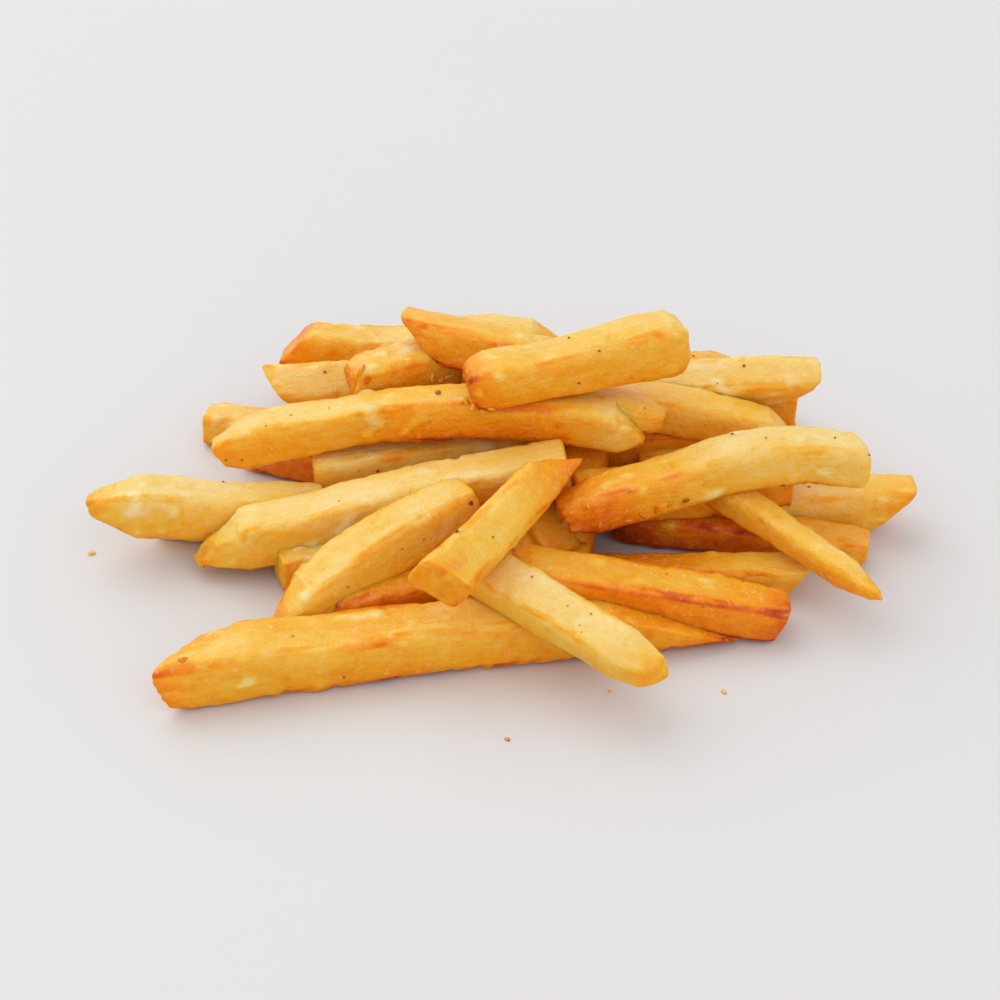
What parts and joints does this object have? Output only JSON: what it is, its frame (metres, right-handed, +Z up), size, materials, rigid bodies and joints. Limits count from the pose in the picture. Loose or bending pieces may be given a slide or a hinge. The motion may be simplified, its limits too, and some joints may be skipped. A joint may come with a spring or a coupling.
{
  "type": "french fries portion",
  "caption": "Loose heap of straight-cut french fries lying criss-cross on its own, without a plate, to set down as a portion of food.",
  "frame": {"origin": "middle of the heap's bounding box at the height of the surface it lies on", "axes": "+X to the right of the picture along the longest side of the heap, +Y away from the viewer, +Z up"},
  "size_m": [0.155, 0.1076, 0.0414],
  "materials": {
    "fried_potato": "oily satin"
  },
  "bodies": {
    "root": {"fries": "fried_potato"}
  },
  "joints": []
}
